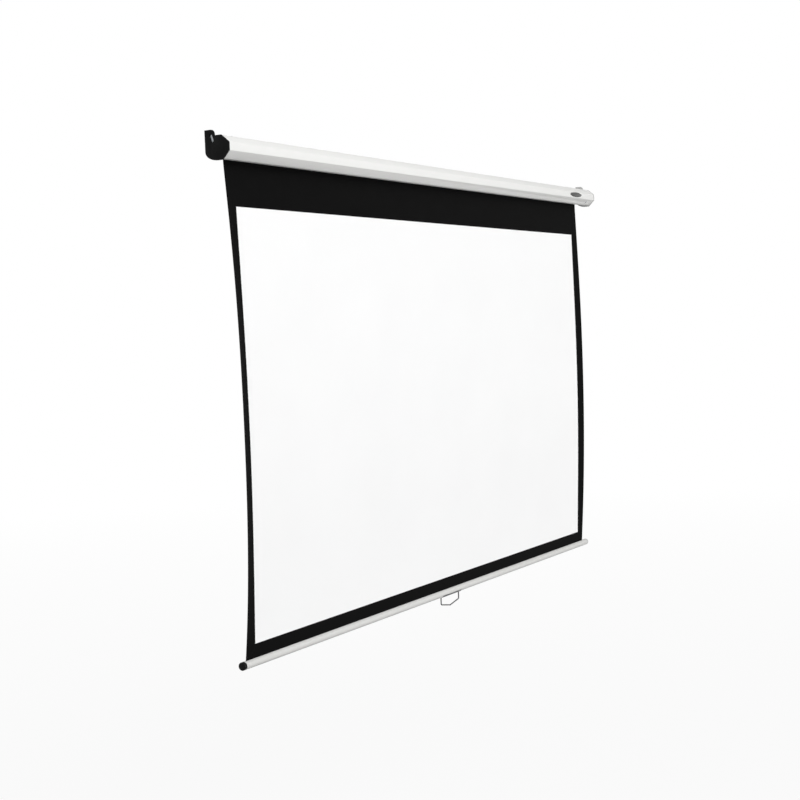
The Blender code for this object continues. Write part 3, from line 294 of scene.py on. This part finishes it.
def band(tree, value, low, high):
    """One between two values, nought outside, with a soft edge."""
    # half of the 0.4 mm over which the printed edge fades
    soft = 0.2 * MM
    edges = []
    for edge, before, after in ((low, 0.0, 1.0), (high, 1.0, 0.0)):
        ends = {"Value": value, "From Min": edge - soft, "From Max": edge + soft,
                "To Min": before, "To Max": after}
        edges.append(add(tree, "ShaderNodeMapRange", None, ends).outputs["Result"])
    return add(tree, "ShaderNodeMath", {"operation": "MULTIPLY"}, {0: edges[0], 1: edges[1]}).outputs[0]


def viewing_surface():
    """Matt white PVC on glass cloth with a printed mask: chalky white, dull black, finely embossed."""
    made, tree, shader = material("matt_white_pvc_masked", "F2F2F2", 0.85, specular=0.04)
    flat = add(tree, "ShaderNodeUVMap", {"uv_map": "cut"}).outputs["UV"]
    split = add(tree, "ShaderNodeSeparateXYZ", None, {"Vector": flat}).outputs
    across = band(tree, split["X"], SIDE_BORDER, SHEET_WIDTH - SIDE_BORDER)
    drop = SHEET_TOP - PICTURE_TOP
    down = band(tree, split["Y"], drop, drop + PICTURE_HEIGHT)
    inside = add(tree, "ShaderNodeMath", {"operation": "MULTIPLY"}, {0: across, 1: down}).outputs[0]
    black = drift(tree, flat, 0.06, "090909", "0D0D0D")
    white = drift(tree, flat, 0.3, "F3F3F3", "F7F7F7")
    print_ends = {0: inside, 6: black, 7: white}
    printed = add(tree, "ShaderNodeMix", {"data_type": "RGBA"}, print_ends).outputs[2]
    tree.links.new(printed, shader.inputs["Base Color"])
    # the emboss is about 0.4 mm; drawn at 1.2 mm
    grain(tree, shader, flat, 1.2 * MM, 0.04 * MM, detail=1.0)
    return made


def backing_cloth():
    """Black-coated glass cloth: dull black with the small squares of the weave showing through."""
    made, tree, shader = material("black_coated_glass_cloth", "101010", 0.8, specular=0.2)
    flat = add(tree, "ShaderNodeUVMap", {"uv_map": "cut"}).outputs["UV"]
    tones(tree, shader, flat, 0.08, "0D0D0D", "141414")
    # threads lie about 1 mm apart; drawn at 2 mm
    split = add(tree, "ShaderNodeSeparateXYZ", None, {"Vector": flat}).outputs
    waves = []
    for axis in ("X", "Y"):
        turned = add(tree, "ShaderNodeMath", {"operation": "MULTIPLY"}, {0: split[axis], 1: math.pi / MM})
        wave = add(tree, "ShaderNodeMath", {"operation": "SINE"}, {0: turned.outputs[0]})
        waves.append(wave.outputs[0])
    weave = add(tree, "ShaderNodeMath", {"operation": "MULTIPLY"}, {0: waves[0], 1: waves[1]})
    bump = add(tree, "ShaderNodeBump", None, {"Height": weave.outputs[0], "Distance": 0.08 * MM})
    tree.links.new(bump.outputs["Normal"], shader.inputs["Normal"])
    return made


FINISHES = {
    "white_paint": powder_coat(),
    "black_plastic": moulded_abs("moulded_abs_black", "090909", "0D0D0D", 0.08),
    "pale_plastic": moulded_abs("moulded_abs_pale_grey", "BFBFBE", "C6C6C5", 0.2),
    "zinc_steel": zinc_plate(),
    "mill_aluminium": extruded_aluminium(),
    "spring_steel": oiled_wire(),
    "nylon": natural_nylon(),
    "badge_plastic": label_enamel(),
    "handle_steel": dark_zinc(),
    "screen_white": viewing_surface(),
    "masking_black": backing_cloth(),
}
SLOTS = {row["node"]: row["material_slot"] for row in frame["record"]["subparts"]}
BODIES = frame["record"]["behaviour"]["bodies"]
BODY_OF = {node: body for body, nodes in BODIES.items() for node in nodes}


def dress(obj, slot):
    """Gives an object one finish."""
    obj.data.materials.clear()
    obj.data.materials.append(FINISHES[slot])


def only(obj):
    """Selects one object and nothing else."""
    bpy.ops.object.select_all(action="DESELECT")
    obj.select_set(True)
    bpy.context.view_layer.objects.active = obj


def apply_all(obj):
    """Applies an object's modifiers in order."""
    only(obj)
    for modifier in list(obj.modifiers):
        bpy.ops.object.modifier_apply(modifier=modifier.name)


def place(obj, body, slot, *nodes):
    """Puts a finished piece on its body, in the stead of the solids it stands for."""
    only(obj)
    bpy.ops.object.transform_apply(location=True, rotation=True, scale=True)
    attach(obj, body)
    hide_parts(*nodes)
    return obj


def refined(node, name, edge):
    """A rigid solid with its flats made whole, its edges rounded and its curves shaded smooth."""
    obj = bpy.data.objects.new(name, frame["nodes"][node].data.copy())
    bpy.context.scene.collection.objects.link(obj)
    only(obj)
    bpy.ops.object.mode_set(mode="EDIT")
    bpy.ops.mesh.select_all(action="SELECT")
    bpy.ops.mesh.remove_doubles(threshold=WELD)
    bpy.ops.mesh.dissolve_limited(angle_limit=FLAT_ANGLE)
    bpy.ops.object.mode_set(mode="OBJECT")
    bevel = obj.modifiers.new("edge", "BEVEL")
    bevel.width = edge
    bevel.segments = EDGE_SEGMENTS
    bevel.limit_method = "ANGLE"
    bevel.angle_limit = SMOOTH_ANGLE
    apply_all(obj)
    bpy.ops.object.shade_smooth_by_angle(angle=SMOOTH_ANGLE)
    slot = SLOTS[node]
    dress(obj, slot)
    return place(obj, BODY_OF[node], slot, node)


def sheet_forward(x, z):
    """How far the hanging sheet stands in front of its plane."""
    share = (CASE_BOTTOM - z) / (CASE_BOTTOM - BAR_TOP)
    if not 0.0 < share < 1.0:
        return 0.0
    down = share ** BOW_SKEW
    bow = BOW * math.sin(math.pi * down) ** BOW_PEAK
    rise = 1.0 - abs(2 * down - 1.0) ** CURL_ENDS
    left = max(0.0, 1.0 - (x - SHEET_LEFT) / CURL_STRIP) ** 2
    right = max(0.0, 1.0 - (SHEET_RIGHT - x) / CURL_STRIP) ** 2
    return bow + (LEFT_CURL * left + RIGHT_CURL * right) * rise


def steps(low, high, count):
    """Evenly spaced places, the first one left out."""
    return [low + (high - low) * (i + 1) / count for i in range(count)]


def cloth(name, columns, rows, point):
    """A grid of cloth with its flat cut as a UV map; point turns a column and a row into a place."""
    bpy.ops.object.select_all(action="DESELECT")
    across, down = len(columns) - 1, len(rows) - 1
    bpy.ops.mesh.primitive_grid_add(x_subdivisions=across, y_subdivisions=down, size=2.0)
    obj = bpy.context.object
    obj.name = name
    mesh = obj.data
    mesh.name = name
    cells = {}
    for vert in mesh.vertices:
        column = round((vert.co.x + 1) / 2 * across)
        row = round((1 - vert.co.y) / 2 * down)
        cells[vert.index] = (columns[column], rows[row])
    for vert in mesh.vertices:
        vert.co = point(*cells[vert.index])
    layer = mesh.uv_layers[0]
    layer.name = "cut"
    for loop in mesh.loops:
        column, row = cells[loop.vertex_index]
        layer.data[loop.index].uv = (column - columns[0], row - rows[0])
    return obj


def make_sheet():
    """The hanging sheet: bowed, with curled side edges, white and masked in front and black behind."""
    left_flat = SHEET_LEFT + CURL_STRIP
    right_flat = SHEET_RIGHT - CURL_STRIP
    columns = [SHEET_LEFT] + steps(SHEET_LEFT, left_flat, CURL_COLUMNS)
    columns += steps(left_flat, right_flat, FLAT_COLUMNS) + steps(right_flat, SHEET_RIGHT, CURL_COLUMNS)
    top, case, bar, bottom = (-z for z in (SHEET_TOP, CASE_BOTTOM, BAR_TOP, SHEET_BOTTOM))
    rows = [top] + steps(top, case, CASE_ROWS) + steps(case, bar, HANGING_ROWS)
    rows += steps(bar, bottom, SLIT_ROWS)

    def hanging(x, down):
        return (x, SHEET_PLANE - sheet_forward(x, -down), -down)

    obj = cloth("hanging_sheet", columns, rows, hanging)
    thicken(obj)
    place(obj, "bar", "screen_white", "screen_fabric")
    # it rises with the bar, and what is left of it at the top lies on the bar, just under the roll
    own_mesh(obj)
    return obj


def thicken(obj):
    """Gives cloth its thickness, with the black backing on its other side and its cut edges."""
    bpy.ops.object.mode_set(mode="EDIT")
    bpy.ops.mesh.select_all(action="SELECT")
    bpy.ops.mesh.normals_make_consistent(inside=False)
    bpy.ops.object.mode_set(mode="OBJECT")
    if sum(p.normal.y * p.area for p in obj.data.polygons) > 0:
        bpy.ops.object.mode_set(mode="EDIT")
        bpy.ops.mesh.flip_normals()
        bpy.ops.object.mode_set(mode="OBJECT")
    obj.data.materials.append(FINISHES["screen_white"])
    obj.data.materials.append(FINISHES["masking_black"])
    wall = obj.modifiers.new("thickness", "SOLIDIFY")
    wall.thickness = SHEET_THICKNESS
    wall.offset = 0.0
    wall.material_offset = 1
    wall.material_offset_rim = 1
    apply_all(obj)
    bpy.ops.object.shade_smooth_by_angle(angle=SMOOTH_ANGLE)


def make_turns():
    """The last turns of the sheet on its tube, which end where the hanging part leaves the roller."""
    full = 2 * math.pi * TURNS
    mean = TURN_INNER + TURN_PITCH * TURNS / 2
    length = full * mean
    columns = [SHEET_LEFT] + steps(SHEET_LEFT, SHEET_RIGHT, TURN_COLUMNS)
    rows = [0.0] + steps(0.0, length, TURN_ROWS)

    def wound(x, along):
        angle = full * (along / length - 1.0)
        radius = TURN_INNER + TURN_PITCH * TURNS * along / length
        return (x, ROLLER_AXIS.y + radius * math.cos(angle), ROLLER_AXIS.z - radius * math.sin(angle))

    obj = cloth("wound_turns", columns, rows, wound)
    obj.data.materials.append(FINISHES["masking_black"])
    wall = obj.modifiers.new("thickness", "SOLIDIFY")
    wall.thickness = TURN_SHEET
    wall.offset = 0.0
    apply_all(obj)
    bpy.ops.object.shade_smooth_by_angle(angle=SMOOTH_ANGLE)
    place(obj, "roller", "masking_black", "fabric_roll")
    return obj


def seen_white(tree):
    """One for rays that see the background: the camera's, and those off a gloss or through a glass."""
    rays = add(tree, "ShaderNodeLightPath").outputs
    either = add(tree, "ShaderNodeMath", {"operation": "MAXIMUM"},
                 {0: rays["Is Camera Ray"], 1: rays["Is Glossy Ray"]}).outputs[0]
    return add(tree, "ShaderNodeMath", {"operation": "MAXIMUM"},
               {0: either, 1: rays["Is Transmission Ray"]}).outputs[0]


def make_stage():
    """A plain pale floor a room's height below the case."""
    bpy.ops.object.select_all(action="DESELECT")
    bpy.ops.mesh.primitive_plane_add(size=FLOOR_SIZE, location=(0, 0, FLOOR_Z))
    floor = bpy.context.object
    floor.name = "floor"
    made = bpy.data.materials.new("pale_floor")
    made.use_nodes = True
    tree = made.node_tree
    tree.nodes.clear()
    matt = add(tree, "ShaderNodeBsdfDiffuse", None, {"Color": srgb("B0B0B0")})
    glow = add(tree, "ShaderNodeEmission", None, {"Color": srgb("FFFFFF"), "Strength": 1.0})
    # near the screen the floor keeps some of its own tone, and so a shadow; far off it fades into white
    spot = coordinates(tree)
    away = add(tree, "ShaderNodeVectorMath", {"operation": "LENGTH"}, {0: spot}).outputs["Value"]
    ends = {"Value": away, "From Min": NEAR, "From Max": FAR, "To Min": NEAR_WHITE, "To Max": FAR_WHITE}
    bright = add(tree, "ShaderNodeMapRange", None, ends).outputs["Result"]
    share = add(tree, "ShaderNodeMath", {"operation": "MULTIPLY"}, {0: seen_white(tree), 1: bright})
    mix = add(tree, "ShaderNodeMixShader", None,
              {0: share.outputs[0], 1: matt.outputs[0], 2: glow.outputs[0]})
    add(tree, "ShaderNodeOutputMaterial", None, {"Surface": mix.outputs[0]})
    floor.data.materials.append(made)


def make_world():
    """Even daylight all round; white where the camera, a gloss or a glass looks at it."""
    world = bpy.data.worlds.new("studio")
    bpy.context.scene.world = world
    world.use_nodes = True
    tree = world.node_tree
    tree.nodes.clear()
    soft = add(tree, "ShaderNodeBackground", None, {"Color": srgb("FFFFFF"), "Strength": AMBIENT})
    white = add(tree, "ShaderNodeBackground", None, {"Color": srgb("FFFFFF"), "Strength": 1.0})
    mix = add(tree, "ShaderNodeMixShader", None,
              {0: seen_white(tree), 1: soft.outputs[0], 2: white.outputs[0]})
    add(tree, "ShaderNodeOutputWorld", None, {"Surface": mix.outputs[0]})


def make_lamps():
    """Large soft boxes in front, and a weaker one behind."""
    for name, spot, aim, size, watts in LAMPS:
        data = bpy.data.lights.new(name, "AREA")
        data.shape = "SQUARE"
        data.size = size
        data.energy = watts
        lamp = bpy.data.objects.new(name, data)
        bpy.context.scene.collection.objects.link(lamp)
        lamp.location = spot
        lamp.rotation_mode = "QUATERNION"
        lamp.rotation_quaternion = (Vector(aim) - Vector(spot)).to_track_quat("-Z", "Y")


def make_camera():
    """The camera of the photograph."""
    data = bpy.data.cameras.new("camera")
    data.lens = LENS
    data.sensor_width = SENSOR
    data.shift_x = SHIFT_ACROSS
    data.shift_y = SHIFT_UP
    camera = bpy.data.objects.new("camera", data)
    bpy.context.scene.collection.objects.link(camera)
    camera.matrix_world = Matrix.Translation(CAMERA_PLACE) @ Matrix(CAMERA_AXES).to_4x4()
    bpy.context.scene.camera = camera


ROUNDED = (
    # node, name of the finished piece, edge radius
    ("case_shell", "folded_steel_case", 0.3 * MM),
    ("left_end_cap", "left_moulded_cap", 0.45 * MM),
    ("right_end_cap", "right_moulded_cap", 0.45 * MM),
    ("left_hanger_plate", "left_hook_plate", 0.2 * MM),
    ("right_hanger_plate", "right_hook_plate", 0.2 * MM),
    ("badge", "bare_oval_plate", 0.25 * MM),
    ("bar_tube", "painted_weight_bar", 0.3 * MM),
    ("bar_cap_left", "left_bar_plug", 0.3 * MM),
    ("bar_cap_right", "right_bar_plug", 0.3 * MM),
    ("handle_bracket", "handle_strip", 0.2 * MM),
    ("handle", "wire_handle", 0.1 * MM),
    ("left_bracket", "left_roller_bracket", 0.2 * MM),
    ("right_bracket", "right_roller_bracket", 0.2 * MM),
)


def main():
    """Dresses every solid, then builds the refined pieces, both lengths of sheet and the studio."""
    make_camera()
    for node, obj in frame["nodes"].items():
        dress(obj, SLOTS[node])
    for node, name, edge in ROUNDED:
        refined(node, name, edge)
    # the bar stays in the case's material slot; its white is greyed down as painted shade, and its paint
    # is smoother
    bpy.data.objects["painted_weight_bar"].data.materials[0] = tube_paint_with_painted_shade()
    make_sheet()
    make_turns()
    make_stage()
    make_world()
    make_lamps()
    bpy.context.scene.view_settings.view_transform = "Standard"


main()
